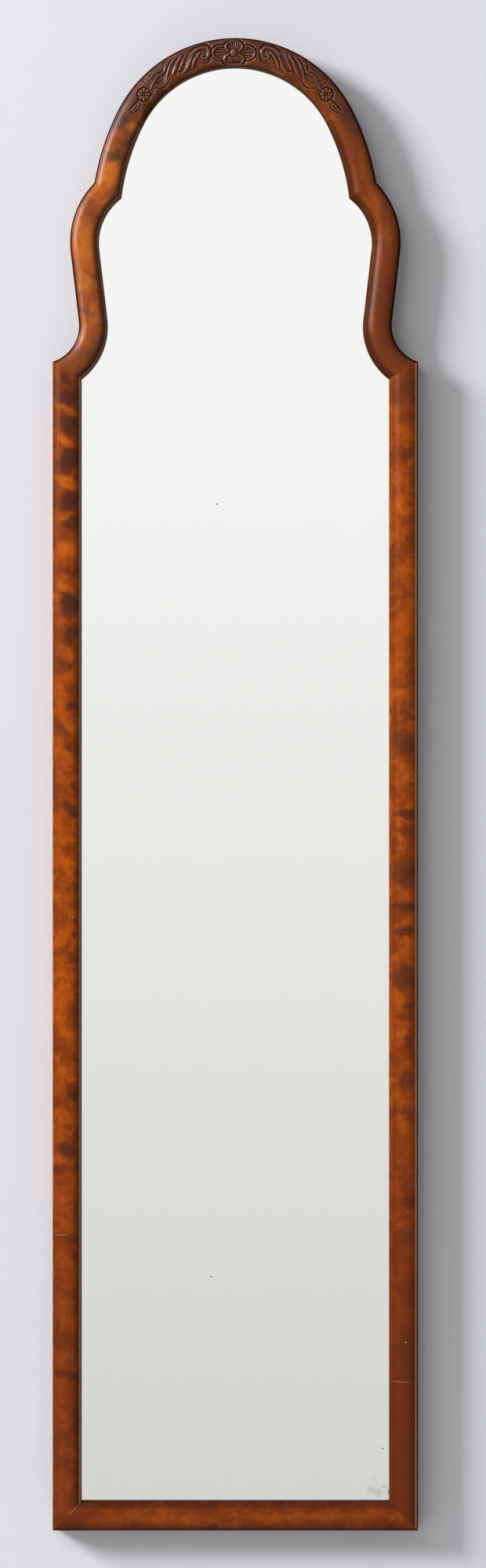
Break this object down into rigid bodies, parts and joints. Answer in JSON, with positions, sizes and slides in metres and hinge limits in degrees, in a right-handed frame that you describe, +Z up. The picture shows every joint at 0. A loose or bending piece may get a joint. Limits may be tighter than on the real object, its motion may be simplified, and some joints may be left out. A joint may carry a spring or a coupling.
{
  "type": "wall mirror",
  "caption": "Tall wall mirror with an arched, lobed and shouldered crest, a carved flower and acanthus crown, mitred straight stiles and keyhole hangers on its back.",
  "frame": {"origin": "on the wall plane, midway between the entry holes of the two keyhole hangers", "axes": "+Z up along the mirror's length, +X to the viewer's right, the face looks along -Y and the wall is at y = 0"},
  "size_m": [0.306, 0.02, 1.25],
  "materials": {
    "stained_birch": "satin varnish over stained flame birch",
    "carved_birch": "darker stain in the carving, satin varnish",
    "raw_birch": "bare joinery wood",
    "backing_pine": "bare aged softwood",
    "mirror_glass": "polished plate glass",
    "silvering": "silver behind the glass, with protective paint on its back",
    "brad_steel": "dulled steel wire",
    "hanger_brass": "aged pressed brass"
  },
  "bodies": {
    "root": {"crown": "carved_birch", "left_shoulder": "stained_birch", "right_shoulder": "stained_birch", "left_stile": "stained_birch", "right_stile": "stained_birch", "bottom_rail": "stained_birch", "left_crown_tongue": "raw_birch", "right_crown_tongue": "raw_birch", "left_shoulder_tongue": "raw_birch", "right_shoulder_tongue": "raw_birch", "left_corner_key": "raw_birch", "right_corner_key": "raw_birch", "mirror_glass": "mirror_glass", "silvering": "silvering", "packing_slips": "backing_pine", "backing_board": "backing_pine", "backing_brads": "brad_steel", "left_hanger": "hanger_brass", "right_hanger": "hanger_brass", "hanger_screws": "hanger_brass"}
  },
  "joints": []
}
